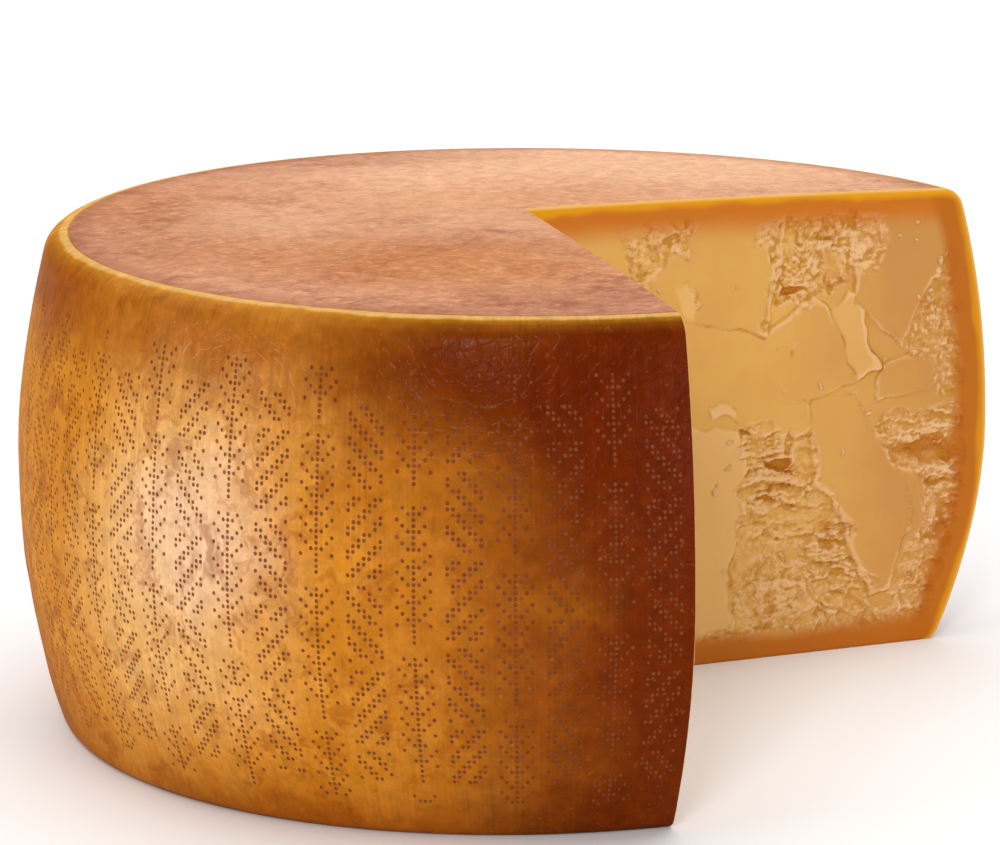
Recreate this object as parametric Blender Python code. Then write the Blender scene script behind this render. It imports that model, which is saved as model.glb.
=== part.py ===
"""A whole wheel of hard grating cheese with one wedge taken out.

The wheel stands on its flat base: a barrel-shaped side between a base and a slightly domed top, both
with rounded edges. A wedge of a little over a quarter has been broken out with a short almond knife, so
the two walls of the notch are uneven, with shallow hollows where the paste crumbled away.

Metres, +Z up. The origin is on the floor, under the middle of the wheel's bounding box.
"""

import math

import bmesh
import bpy
from mathutils import Vector, noise

# Driving dimensions of the wheel
BELLY_RADIUS = 0.2150  # widest part of the side
RIM_HEIGHT = 0.2000  # height of the top's outer edge
BELLY_LEVEL = 0.473  # height of the widest part, as a share of the rim height
TOP_RADIUS = 0.2004  # where the side would meet the top without its rounding
FOOT_RADIUS = 0.1942  # where the side would meet the base without its rounding
TOP_ROUNDING = 0.0075
FOOT_ROUNDING = 0.0040
TOP_CURVE = 2.15  # exponent of the side above the belly
FOOT_CURVE = 1.88  # exponent of the side below the belly
DOME_RISE = 0.0029  # middle of the top above its edge
AXIS_PLACE = Vector((0.0010, -0.0017, 0.0))  # the wheel's axis on the floor

# The wheel has settled a little out of true while it aged
TOP_TILT = -0.0018  # rise of the rim on the +X side
FOOT_SHIFT = Vector((-0.0039, 0.0072, 0.0))  # base circle against the belly
TWO_LOBE_SWELL = 0.0048
TWO_LOBE_TURN = math.radians(31.4)
THREE_LOBE_SWELL = 0.0105
THREE_LOBE_TURN = math.radians(47.1)

# The notch: its inner edge, measured from the axis, and the headings of its two walls
NOTCH_EDGE = Vector((-0.0007, 0.0202, 0.0))
FRONT_WALL_HEADING = math.radians(-90.0)
SIDE_WALL_HEADING = math.radians(6.0)
NOTCH_REACH = 0.270  # the cutter's walls, a little past the side
NOTCH_CORNER_REACH = 0.400  # the cutter's outer corner, halfway between its walls
NOTCH_MARGIN = 0.020  # the cutter above the top and below the base
WALL_SKIN = 0.012  # the firm outer layer breaks clean, so the hollows fade out in it
GRAIN_DEPTH = 0.0008
GRAIN_SIZE = 0.022

# Hollows and raised scales of each wall: distance from the inner edge, height, half length, half height
# and depth. A negative depth stands proud.
SIDE_WALL_BREAKS = (
    (0.062, 0.176, 0.020, 0.018, 0.0015),
    (0.133, 0.170, 0.034, 0.030, 0.0028),
    (0.190, 0.150, 0.016, 0.034, 0.0026),
    (0.180, 0.080, 0.030, 0.014, 0.0040),
    (0.192, 0.046, 0.016, 0.034, 0.0030),
    (0.113, 0.074, 0.024, 0.042, 0.0038),
    (0.142, 0.034, 0.026, 0.018, 0.0024),
    (0.092, 0.130, 0.030, 0.034, -0.0018),
    (0.150, 0.130, 0.024, 0.030, -0.0022),
    (0.165, 0.060, 0.028, 0.038, -0.0012),
)
FRONT_WALL_BREAKS = (
    (0.070, 0.150, 0.032, 0.036, 0.0034),
    (0.120, 0.056, 0.036, 0.028, 0.0030),
    (0.172, 0.146, 0.028, 0.034, 0.0028),
    (0.206, 0.080, 0.020, 0.040, 0.0026),
    (0.052, 0.060, 0.026, 0.034, 0.0022),
    (0.124, 0.120, 0.036, 0.030, -0.0020),
    (0.170, 0.086, 0.026, 0.034, -0.0016),
    (0.090, 0.030, 0.034, 0.018, -0.0010),
)

# How finely the wheel and the notch's walls are faceted
SIDE_STEPS = 96
BARREL_STEPS = 12
ROUNDING_STEPS = 4
TOP_RING_SHARES = (0.86, 0.62, 0.36)
WALL_COLUMNS = 30
WALL_ROWS = 26
SHARP_ANGLE = math.radians(35.0)

RIND_COLOUR = (0.43, 0.16, 0.035, 1.0)
PASTE_COLOUR = (0.66, 0.40, 0.13, 1.0)


def clear_scene():
    """Remove everything that the file opened with."""
    for thing in list(bpy.data.objects):
        bpy.data.objects.remove(thing, do_unlink=True)


def make_material(name, colour, roughness):
    """A plain finish: colour and roughness, nothing metallic."""
    material = bpy.data.materials.new(name)
    material.use_nodes = True
    shader = material.node_tree.nodes["Principled BSDF"]
    shader.inputs["Base Color"].default_value = colour
    shader.inputs["Roughness"].default_value = roughness
    shader.inputs["Metallic"].default_value = 0.0
    material.diffuse_color = colour
    return material


def edge_rounding(distance, radius):
    """How far a rounded edge has drawn back at a distance from the flat face that it meets."""
    share = max(0.0, 1.0 - distance / radius)
    return radius * (1.0 - math.sqrt(1.0 - share * share))


def side_radius(azimuth, level):
    """Radius of the wheel's side at an azimuth and at a level, from 0 at the base to 1 at the rim."""
    if level < BELLY_LEVEL:
        share = (BELLY_LEVEL - level) / BELLY_LEVEL
        shift = FOOT_SHIFT.x * math.cos(azimuth) + FOOT_SHIFT.y * math.sin(azimuth)
        radius = BELLY_RADIUS - (BELLY_RADIUS - FOOT_RADIUS - shift) * share**FOOT_CURVE
    else:
        share = (level - BELLY_LEVEL) / (1.0 - BELLY_LEVEL)
        radius = BELLY_RADIUS - (BELLY_RADIUS - TOP_RADIUS) * share**TOP_CURVE
    radius -= edge_rounding((1.0 - level) * RIM_HEIGHT, TOP_ROUNDING)
    radius -= edge_rounding(level * RIM_HEIGHT, FOOT_ROUNDING)
    swell = TWO_LOBE_SWELL * math.sin(2.0 * azimuth + TWO_LOBE_TURN)
    swell += THREE_LOBE_SWELL * math.cos(3.0 * azimuth + THREE_LOBE_TURN)
    return radius * (1.0 + swell)


def side_point(azimuth, level):
    """A point of the side. The rim is not quite level, so the height leans with it."""
    radius = side_radius(azimuth, level)
    place = Vector((radius * math.cos(azimuth), radius * math.sin(azimuth), 0.0))
    place.z = level * (RIM_HEIGHT + TOP_TILT * place.x / TOP_RADIUS)
    return AXIS_PLACE + place


def top_point(azimuth, share):
    """A point of the domed top, at a share of the way from the axis to the rim."""
    edge = side_point(azimuth, 1.0)
    centre = AXIS_PLACE + Vector((0.0, 0.0, RIM_HEIGHT))
    point = centre.lerp(edge, share)
    point.z += DOME_RISE * (1.0 - share * share)
    return point


def side_levels():
    """Levels of the side's rings, closer together round the two rounded edges."""
    foot = FOOT_ROUNDING / RIM_HEIGHT
    shoulder = TOP_ROUNDING / RIM_HEIGHT
    turns = [0.5 * math.pi * step / ROUNDING_STEPS for step in range(ROUNDING_STEPS)]
    levels = [foot * (1.0 - math.cos(turn)) for turn in turns]
    span = 1.0 - foot - shoulder
    levels += [foot + span * step / BARREL_STEPS for step in range(BARREL_STEPS)]
    levels += [1.0 - shoulder * (1.0 - math.sin(turn)) for turn in turns]
    return levels + [1.0]


def bridge_rings(mesh, lower, upper):
    """Faces between two rings of as many points, facing out where the upper ring is above or within."""
    for step in range(len(lower)):
        following = (step + 1) % len(lower)
        mesh.faces.new((lower[step], lower[following], upper[following], upper[step]))


def make_wheel(rind, paste):
    """The uncut wheel: side, domed top and flat base in one closed mesh."""
    azimuths = [2.0 * math.pi * step / SIDE_STEPS for step in range(SIDE_STEPS)]
    mesh = bmesh.new()
    rings = [[mesh.verts.new(side_point(azimuth, level)) for azimuth in azimuths] for level in side_levels()]
    rings += [[mesh.verts.new(top_point(azimuth, share)) for azimuth in azimuths] for share in TOP_RING_SHARES]
    for lower, upper in zip(rings, rings[1:]):
        bridge_rings(mesh, lower, upper)
    mesh.faces.new(rings[-1])
    mesh.faces.new(rings[0][::-1])
    return finish_object(mesh, "cheese_wheel", (rind, paste))


def finish_object(mesh, name, materials):
    """Turn a bmesh into an object with its materials, smooth but for its real edges."""
    data = bpy.data.meshes.new(name)
    mesh.to_mesh(data)
    mesh.free()
    data.shade_smooth()
    data.set_sharp_from_angle(angle=SHARP_ANGLE)
    for material in materials:
        data.materials.append(material)
    thing = bpy.data.objects.new(name, data)
    bpy.context.collection.objects.link(thing)
    return thing


def fade(distance, width):
    """0 at the surface of the wheel, rising smoothly to 1 once the firm outer layer is passed."""
    share = min(1.0, max(0.0, distance / width))
    return share * share * (3.0 - 2.0 * share)


def wall_depth(along, height, reach, breaks):
    """How far a notch wall lies behind its mean plane, at a distance along it and a height."""
    depth = GRAIN_DEPTH * noise.noise(Vector((along, height, reach)) / GRAIN_SIZE)
    for centre_along, centre_height, half_length, half_height, hollow in breaks:
        across = (along - centre_along) / half_length
        up = (height - centre_height) / half_height
        depth += hollow * max(0.0, 1.0 - across * across - up * up) ** 0.7
    skin = fade(height, WALL_SKIN) * fade(RIM_HEIGHT - height, WALL_SKIN)
    return depth * skin * fade(along, WALL_SKIN) * fade(reach - along, WALL_SKIN)


def wall_rows(mesh, inner_column, heading, into_cheese, breaks):
    """Columns of points of one notch wall, from the inner edge out past the side."""
    heights = [vertex.co.z for vertex in inner_column]
    direction = Vector((math.cos(heading), math.sin(heading), 0.0))
    reach = (AXIS_PLACE + direction * BELLY_RADIUS - inner_column[0].co).dot(direction)
    columns = [inner_column]
    for step in range(1, WALL_COLUMNS + 1):
        along = NOTCH_REACH * step / WALL_COLUMNS
        column = []
        for height in heights:
            place = inner_column[0].co + direction * along
            place += into_cheese * wall_depth(along, height, reach, breaks)
            column.append(mesh.verts.new((place.x, place.y, height)))
        columns.append(column)
    return columns


def make_notch_cutter(paste):
    """The space of the missing wedge: two uneven walls that meet at the inner edge, closed all round."""
    mesh = bmesh.new()
    inner_edge = AXIS_PLACE + NOTCH_EDGE
    low = -NOTCH_MARGIN
    high = RIM_HEIGHT + DOME_RISE + NOTCH_MARGIN
    heights = [low + (high - low) * row / WALL_ROWS for row in range(WALL_ROWS + 1)]
    inner_column = [mesh.verts.new((inner_edge.x, inner_edge.y, height)) for height in heights]
    into_front = Vector((math.sin(FRONT_WALL_HEADING), -math.cos(FRONT_WALL_HEADING), 0.0))
    into_side = Vector((-math.sin(SIDE_WALL_HEADING), math.cos(SIDE_WALL_HEADING), 0.0))
    front = wall_rows(mesh, inner_column, FRONT_WALL_HEADING, into_front, FRONT_WALL_BREAKS)
    side = wall_rows(mesh, inner_column, SIDE_WALL_HEADING, into_side, SIDE_WALL_BREAKS)
    for columns, outward in ((front, into_front), (side, into_side)):
        for inner, outer in zip(columns, columns[1:]):
            for row in range(WALL_ROWS):
                corners = (inner[row], outer[row], outer[row + 1], inner[row + 1])
                mesh.faces.new(corners)
    corner_heading = 0.5 * (FRONT_WALL_HEADING + SIDE_WALL_HEADING)
    corner_x = inner_edge.x + NOTCH_CORNER_REACH * math.cos(corner_heading)
    corner_y = inner_edge.y + NOTCH_CORNER_REACH * math.sin(corner_heading)
    corner = [mesh.verts.new((corner_x, corner_y, height)) for height in heights]
    for nearer, farther in ((front[-1], corner), (corner, side[-1])):
        for row in range(WALL_ROWS):
            mesh.faces.new((nearer[row], farther[row], farther[row + 1], nearer[row + 1]))
    for end in (0, -1):
        outline = [column[end] for column in front + [corner] + side[:0:-1]]
        mesh.faces.new(outline)
    bmesh.ops.recalc_face_normals(mesh, faces=mesh.faces)
    cutter = finish_object(mesh, "notch_cutter", (paste,))
    cutter.hide_render = True
    cutter.display_type = "WIRE"
    return cutter


def cut_notch(wheel, cutter):
    """Take the wedge out of the wheel. The fresh walls keep the cutter's pale paste."""
    cut = wheel.modifiers.new("notch", "BOOLEAN")
    cut.operation = "DIFFERENCE"
    cut.solver = "EXACT"
    cut.material_mode = "TRANSFER"
    cut.object = cutter


def main():
    clear_scene()
    rind = make_material("rind", RIND_COLOUR, 0.45)
    paste = make_material("paste", PASTE_COLOUR, 0.60)
    wheel = make_wheel(rind, paste)
    cut_notch(wheel, make_notch_cutter(paste))


main()
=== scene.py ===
"""The looks of a wheel of hard grating cheese with a wedge broken out of it.

The wheel is built as slices that meet on planes through the notch's inner edge. Each slice is a closed
solid under its own stretch of rind. The two end slices carry the broken walls of the notch.
"""

import math
import random

import bmesh
import bpy
import numpy as np
from mathutils import Matrix, Vector


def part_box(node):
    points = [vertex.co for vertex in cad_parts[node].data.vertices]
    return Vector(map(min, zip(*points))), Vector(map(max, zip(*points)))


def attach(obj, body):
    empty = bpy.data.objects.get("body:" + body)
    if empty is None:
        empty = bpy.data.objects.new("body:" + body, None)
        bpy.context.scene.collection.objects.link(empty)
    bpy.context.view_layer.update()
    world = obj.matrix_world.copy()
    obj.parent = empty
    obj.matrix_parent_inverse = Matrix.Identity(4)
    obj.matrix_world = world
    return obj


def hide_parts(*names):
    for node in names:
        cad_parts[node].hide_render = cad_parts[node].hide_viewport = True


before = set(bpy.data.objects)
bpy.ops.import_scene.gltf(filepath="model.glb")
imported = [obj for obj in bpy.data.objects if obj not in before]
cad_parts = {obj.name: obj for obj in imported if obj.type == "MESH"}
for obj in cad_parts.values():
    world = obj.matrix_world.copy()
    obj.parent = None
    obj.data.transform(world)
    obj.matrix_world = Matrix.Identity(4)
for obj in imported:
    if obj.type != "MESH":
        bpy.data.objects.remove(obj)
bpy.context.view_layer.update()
FLOOR_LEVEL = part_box("cheese_wheel")[0][2]

bl_info = {
    "name": "Cut cheese wheel",
    "version": (1, 0, 0),
    "blender": (4, 5, 0),
    "location": "View3D > Sidebar > Cheese",
    "description": "Builds a wheel of hard grating cheese with a wedge broken out of it",
    "category": "Add Mesh",
}

# The wheel's shape, as it was pressed and as it settled while it aged
AXIS = np.array((0.0010, -0.0017, 0.0))
INNER_EDGE = AXIS + np.array((-0.0007, 0.0202, 0.0))
BELLY_LEVEL = 0.473
TOP_CURVE = 2.15
FOOT_CURVE = 1.88
TOP_TILT = -0.0018
FOOT_SHIFT = (-0.0039, 0.0072)
TWO_LOBES = (0.0048, math.radians(31.4))
THREE_LOBES = (0.0105, math.radians(47.1))
SIDE_WALL_HEADING = math.radians(6.0)
FRONT_WALL_HEADING = math.radians(270.0)

# How the rind is laid out in cells, in upright strips. Each cell of the side can hold one stamped dot.
CELL_WIDTH = 0.00206
STRIP_CELLS = 9
SLICE_STRIPS = (3, 12, 11, 11, 12, 3)
COLUMNS = STRIP_CELLS * sum(SLICE_STRIPS)
BASE_RINGS = 12
FOOT_ROWS = 4
BARREL_ROWS = 86
SHOULDER_ROWS = 5
TOP_RINGS = 48
# The rings nearest the inner edge are left out, because they would be too narrow
TOP_LAST_RING = 6
BASE_LAST_RING = 2

# The stamp: cells of a strip that hold dots, rows of its two patterns, and the share of dots it missed
STRIP_DOTS = 7
TWILL_ROWS = range(9, 76)
EAR_ROWS = range(5, 81)
MISSED_SHARE = 0.035
# How far the dot's rim and then its floor are inset, in cells
DOT_INSET = 0.11
FLOOR_INSET = 0.13
# Rows in one ear of wheat and in one twilled block, and how far each next strip starts them higher
EAR_LENGTH = 26
EAR_SHIFT = 11
TWILL_LENGTH = 15
TWILL_SHIFT = 5
MIDDLE_DOT = 3
# How far the pressed rind swells and sinks, in metres
SIDE_UNEVENNESS = 0.00045
TOP_UNEVENNESS = 0.0006

# Places on each slice's map, which runs from 0 to 1. The rind has the left, a broken wall the rest, and the
# flat sides where slices meet share narrow strips at the right.
MAP_EDGE = 0.01
RIND_MAP_LEVELS = (0.01, 0.08, 0.62, 0.99)
WHOLE_RIND_MAP = 0.95
END_RIND_MAP = 0.25
WALL_MAP_START = 0.28
WALL_MAP_WIDTH = 0.69
FLAT_MAP_START = 0.975
FLAT_MAP_STEP = 0.011
FLAT_MAP_WIDTH = 0.009
FLAT_MAP_RISE = 4.7
FLAT_MAP_REACH = 0.22

# How finely the walls are divided: parts of each rind row, and cells from the inner edge to the side
WALL_ROW_PARTS = 3
WALL_CELLS = 288
MERGE_DISTANCE = 0.000002
# A face with more corners than this closes a slice's flat side
MOST_CORNERS = 40
SMOOTH_ANGLE = math.radians(55.0)
# A millimetre in metres, and a metre in millimetres
MILLIMETRE = 0.001
METRE = 1000.0


def linear(hex_colour):
    """An sRGB hex colour as linear red, green, blue and alpha."""
    values = [int(hex_colour[place : place + 2], 16) / 255.0 for place in (0, 2, 4)]
    values = [value / 12.92 if value <= 0.04045 else ((value + 0.055) / 1.055) ** 2.4 for value in values]
    return (*values, 1.0)


# The sizes a user would change: what each one is, and its default in metres
SIZES = {
    "belly_radius": ("Radius of the widest part", 0.2150),
    "rim_height": ("Height of the top's outer edge", 0.2000),
    "top_radius": ("Radius of the top, before its rounding", 0.2004),
    "foot_radius": ("Radius of the base, before its rounding", 0.1942),
    "top_rounding": ("Radius of the top's rounded edge", 0.0075),
    "foot_rounding": ("Radius of the base's rounded edge", 0.0040),
    "dome_rise": ("Middle of the top above its edge", 0.0029),
    "dot_depth": ("Depth of the stamped dots", 0.00045),
    "wall_proud": ("Worn edge between rind and broken wall", 0.0005),
}
# The colours a user would change: what each one is on, and its default
COLOURS = {
    "rind_gold": ("Oiled rind where it aged evenly", "CC862A"),
    # Drier rind, and laid over the left of the side as painted sheen as well
    "rind_tan": ("Drier, paler rind", "DCA966"),
    "rind_amber": ("Rind soaked with oil", "BE7612"),
    # Painted sheen: a pale patch that stands in for the highlight on the left of the side
    "rind_painted_sheen": ("Dry white bloom on the rind", "E6C0A2"),
    "rind_brown": ("Rind that darkened on the shelf", "5A1702"),
    "rind_rust": ("Rind on its way to brown", "8C4204"),
    # Painted sheen: the top paler where light glances off it, brightest to the back right
    "top_pale": ("Top where it was rubbed clean", "EEBC96"),
    "top_tan": ("Drier rind of the top", "CC9170"),
    # Also laid as a painted shadow of a blade on the front of the top
    "top_brown": ("Stains of the top", "904E36"),
    "top_orange": ("Top where the oil stayed wet", "C47A3C"),
    "dot": ("Floor of the stamped dots", "7E4428"),
    "paste": ("Smooth broken paste", "D4A353"),
    "warm_paste": ("Paste nearer the rind", "BE8645"),
    # Also painted highlight on the raised edges of the torn paste
    "crumb": ("Grains and torn edges of the paste", "E2B686"),
    # Painted shade: the deep yellow in the hollows of the torn paste
    "hollow": ("Depths of the torn paste", "BA8020"),
    "edge_gold": ("Dried paste just under the rind", "D69300"),
    "edge_orange": ("Drying paste behind the top edge", "BE680E"),
    # Also painted shade in the deepest pits of the torn paste
    "edge_rust": ("Drying paste behind the side and over the base", "B0600A"),
    # Painted highlight: the pale line where the top's and the walls' edges catch the light
    "edge_pale": ("Cut line of the rind itself", "E2B66E"),
}


class CheeseWheelSizes(bpy.types.PropertyGroup):
    """Sizes of the wheel and of the dots stamped in its rind."""

    __annotations__ = {
        key: bpy.props.FloatProperty(
            name=key.replace("_", " ").capitalize(), description=description, default=default, unit="LENGTH"
        )
        for key, (description, default) in SIZES.items()
    }


class CheeseWheelColours(bpy.types.PropertyGroup):
    """Colours of the rind and of the paste."""

    __annotations__ = {
        key: bpy.props.FloatVectorProperty(
            name=key.replace("_", " ").capitalize(), description=description, default=linear(default),
            subtype="COLOR", size=4,
        )
        for key, (description, default) in COLOURS.items()
    }


# --- The wheel's form ---------------------------------------------------------------------------------


def edge_rounding(distance, radius):
    """How far a rounded edge has drawn back at a distance from the flat face that it meets."""
    share = np.clip(1.0 - distance / radius, 0.0, 1.0)
    return radius * (1.0 - np.sqrt(1.0 - share * share))


def side_radius(azimuth, level):
    """Radius of the side at an azimuth and at a level, from 0 at the base to 1 at the rim."""
    sizes = bpy.context.scene.cheese_sizes
    below = np.clip((BELLY_LEVEL - level) / BELLY_LEVEL, 0.0, 1.0)
    above = np.clip((level - BELLY_LEVEL) / (1.0 - BELLY_LEVEL), 0.0, 1.0)
    shift = FOOT_SHIFT[0] * np.cos(azimuth) + FOOT_SHIFT[1] * np.sin(azimuth)
    radius = sizes.belly_radius - (sizes.belly_radius - sizes.foot_radius - shift) * below**FOOT_CURVE
    radius -= (sizes.belly_radius - sizes.top_radius) * above**TOP_CURVE
    radius -= edge_rounding((1.0 - level) * sizes.rim_height, sizes.top_rounding)
    radius -= edge_rounding(level * sizes.rim_height, sizes.foot_rounding)
    swell = TWO_LOBES[0] * np.sin(2.0 * azimuth + TWO_LOBES[1])
    swell += THREE_LOBES[0] * np.cos(3.0 * azimuth + THREE_LOBES[1])
    return radius * (1.0 + swell)


def side_points(heading, level):
    """Points of the side on the planes that leave the inner edge at the given headings."""
    sizes = bpy.context.scene.cheese_sizes
    direction = np.stack((np.cos(heading), np.sin(heading)), -1)
    start = (INNER_EDGE - AXIS)[:2]
    along_start = direction @ start
    reach = np.full_like(heading, sizes.belly_radius)
    for _ in range(4):
        place = start + direction * reach[..., None]
        radius = side_radius(np.arctan2(place[..., 1], place[..., 0]), level)
        reach = np.sqrt(radius**2 - start @ start + along_start**2) - along_start
    place = start + direction * reach[..., None]
    height = level * (sizes.rim_height + TOP_TILT * place[..., 0] / sizes.top_radius)
    return np.concatenate((place + AXIS[:2], height[..., None]), -1)


def rind_rows():
    """Level and share from the inner edge of each line of points, from the base's middle to the top's."""
    sizes = bpy.context.scene.cheese_sizes
    foot = sizes.foot_rounding / sizes.rim_height
    shoulder = sizes.top_rounding / sizes.rim_height
    foot_turns = np.linspace(0.0, 0.5 * math.pi, FOOT_ROWS + 1)
    shoulder_turns = np.linspace(0.0, 0.5 * math.pi, SHOULDER_ROWS + 1)
    levels = np.concatenate(
        (
            foot * (1.0 - np.cos(foot_turns)),
            np.linspace(foot, 1.0 - shoulder, BARREL_ROWS + 1)[1:],
            1.0 - shoulder * (1.0 - np.sin(shoulder_turns[1:])),
        )
    )
    base_shares = np.concatenate(([0.0], np.arange(BASE_LAST_RING, BASE_RINGS) / BASE_RINGS))
    top_shares = np.concatenate((np.arange(TOP_RINGS - 1, TOP_LAST_RING - 1, -1) / TOP_RINGS, [0.0]))
    all_levels = np.concatenate((np.zeros(len(base_shares)), levels, np.ones(len(top_shares))))
    all_shares = np.concatenate((base_shares, np.ones(len(levels)), top_shares))
    return all_levels, all_shares


def from_inner_edge(edge, level, share):
    """Points that lie a share of the way from the inner edge out to points of the side or the rim."""
    sizes = bpy.context.scene.cheese_sizes
    inner = np.broadcast_to(INNER_EDGE, edge.shape).copy()
    inner[..., 2] = level * (sizes.rim_height + TOP_TILT * (INNER_EDGE[0] - AXIS[0]) / sizes.top_radius)
    return inner + (edge - inner) * share[..., None]


def rind_place(heading, level, share):
    """Points of the rind. Off the side, the share leads from the inner edge out to the rim."""
    points = from_inner_edge(side_points(heading, level), level, share)
    points[..., 2] += level * bpy.context.scene.cheese_sizes.dome_rise * (1.0 - share**2)
    return points


def rind_between_rows(heading, row):
    """Points of the rind at whole or broken row numbers, straight from one row's line to the next."""
    levels, shares = rind_rows()
    lower = np.clip(np.floor(row + 1e-6).astype(int), 0, len(levels) - 2)
    part = np.clip(row - lower, 0.0, 1.0)[..., None]
    first = rind_place(heading, levels[lower], shares[lower])
    second = rind_place(heading, levels[lower + 1], shares[lower + 1])
    return first + (second - first) * part


def first_side_row():
    """Number of the row where the base turns up into the side."""
    return BASE_RINGS - BASE_LAST_RING + 1


def first_barrel_row():
    """Number of the row where the foot's rounding ends and the first row of dots could stand."""
    return first_side_row() + FOOT_ROWS


def last_row():
    """Number of the last row, at the inner edge's upper end."""
    return len(rind_rows()[0]) - 1


def column_heading(column):
    """Heading of a rind column from the inner edge. Columns stand evenly apart round the belly."""
    belly = np.array((BELLY_LEVEL, BELLY_LEVEL))
    ends = side_points(np.array((SIDE_WALL_HEADING, FRONT_WALL_HEADING)), belly) - AXIS
    first, last = np.arctan2(ends[:, 1], ends[:, 0]) % (2.0 * math.pi)
    azimuth = first + (last - first) * column / COLUMNS
    radius = side_radius(azimuth, np.full_like(azimuth, BELLY_LEVEL))
    offset = np.stack((radius * np.cos(azimuth), radius * np.sin(azimuth)), -1) - (INNER_EDGE - AXIS)[:2]
    return np.arctan2(offset[..., 1], offset[..., 0]) % (2.0 * math.pi)


# --- Fixed random patterns --------------------------------------------------------------------------


def scatter(across, up, seed):
    """A fixed random number from 0 to 1 for each whole-numbered place."""
    mixed = across.astype(np.int64) * 374761393 + up.astype(np.int64) * 668265263 + seed * 974634777
    mixed &= 0xFFFFFFFF
    mixed = ((mixed ^ (mixed >> 13)) * 1274126177) & 0xFFFFFFFF
    mixed = ((mixed ^ (mixed >> 15)) * 2246822519) & 0xFFFFFFFF
    return ((mixed ^ (mixed >> 16)) & 0xFFFFFF) / float(0xFFFFFF)


def swells(across, up, seed, layers=1):
    """Smooth random hills from -1 to 1, one unit apart, with finer layers on top."""
    total = np.zeros_like(across)
    for layer in range(layers):
        x, y = across * 2.0**layer, up * 2.0**layer
        left, low = np.floor(x), np.floor(y)
        u, v = x - left, y - low
        u, v = u * u * (3.0 - 2.0 * u), v * v * (3.0 - 2.0 * v)
        corners = [scatter(left + i, low + j, seed + layer) for j in (0, 1) for i in (0, 1)]
        lower = corners[0] + (corners[1] - corners[0]) * u
        upper = corners[2] + (corners[3] - corners[2]) * u
        total += (2.0 * (lower + (upper - lower) * v) - 1.0) * 0.5**layer
    return total


def grains(across, up, seed):
    """Broken grains about one unit apart: own height, lean, height above its middle, distance from it."""
    left, low = np.floor(across), np.floor(up)
    nearest = np.full(across.shape, 9.0)
    found = [np.zeros(across.shape) for _ in range(3)]
    for i in (-1, 0, 1):
        for j in (-1, 0, 1):
            x = across - left - i - scatter(left + i, low + j, seed)
            y = up - low - j - scatter(left + i, low + j, seed + 1)
            closer = np.hypot(x, y) < nearest
            nearest = np.minimum(nearest, np.hypot(x, y))
            height = scatter(left + i, low + j, seed + 2) - 0.5
            lean = x * (2.0 * scatter(left + i, low + j, seed + 3) - 1.0)
            lean += y * (2.0 * scatter(left + i, low + j, seed + 4) - 1.0)
            found = [np.where(closer, new, old) for new, old in zip((height, lean, y), found)]
    return (*found, nearest)


def ease(value, low, high):
    """0 at or below low, 1 at or above high, smooth between."""
    share = np.clip((value - low) / (high - low), 0.0, 1.0)
    return share * share * (3.0 - 2.0 * share)


# --- The broken walls -------------------------------------------------------------------------------

# Zones where the paste tore into crumbs: depth, grain, how much longer than high its flakes are, how far
# they overlap like shingles, then the zone's corners: distance from the inner edge and height. Millimetres.
SIDE_WALL_ZONES = (
    (1.0, 0.8, 1.2, 0.0, (
        (44, 193), (77, 193), (78, 180), (75, 172), (66, 177), (58, 173), (52, 160), (44, 170),
    )),
    (1.5, 1.2, 1.2, 0.0, (
        (108, 193), (166, 193), (162, 184), (163, 174), (156, 165), (147, 164), (142, 152), (132, 156),
        (126, 148), (118, 152), (108, 142), (104, 149), (109, 165), (106, 180),
    )),
    (1.4, 1.1, 1.0, 0.0, (
        (180, 146), (189, 162), (200, 180), (204, 150), (206, 112), (198, 102), (187, 108), (190, 126),
        (180, 124), (172, 130),
    )),
    (1.1, 0.8, 3.0, 0.16, ((159, 101), (174, 103), (203, 105), (204, 90), (184, 91), (166, 88), (157, 95))),
    (4.0, 1.3, 1.8, 0.0, ((164, 91), (184, 93), (204, 94), (204, 74), (190, 71), (179, 75), (170, 81))),
    (2.0, 1.2, 1.6, 0.08, (
        (178, 76), (203, 78), (203, 44), (198, 15), (172, 13), (168, 24), (177, 40), (184, 52), (184, 63),
    )),
    (1.8, 1.1, 2.6, 0.20, (
        (97, 103), (108, 103), (115, 96), (122, 92), (131, 97), (134, 88), (134, 72), (142, 66),
        (151, 56), (152, 44), (140, 42), (128, 46), (112, 52), (97, 58), (101, 66), (95, 73), (102, 82),
        (96, 92),
    )),
    (1.5, 1.0, 1.6, 0.2, ((124, 47), (150, 46), (158, 30), (156, 18), (134, 16), (130, 30))),
    (0.7, 0.7, 1.1, 0.0, (
        (97, 58), (112, 50), (124, 46), (130, 34), (136, 17), (112, 11), (94, 12), (90, 32),
    )),
    (0.8, 0.9, 1.1, 0.0, (
        (79, 17), (120, 19), (160, 17), (196, 18), (195, 10), (150, 7), (110, 9), (80, 8),
    )),
)

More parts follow.
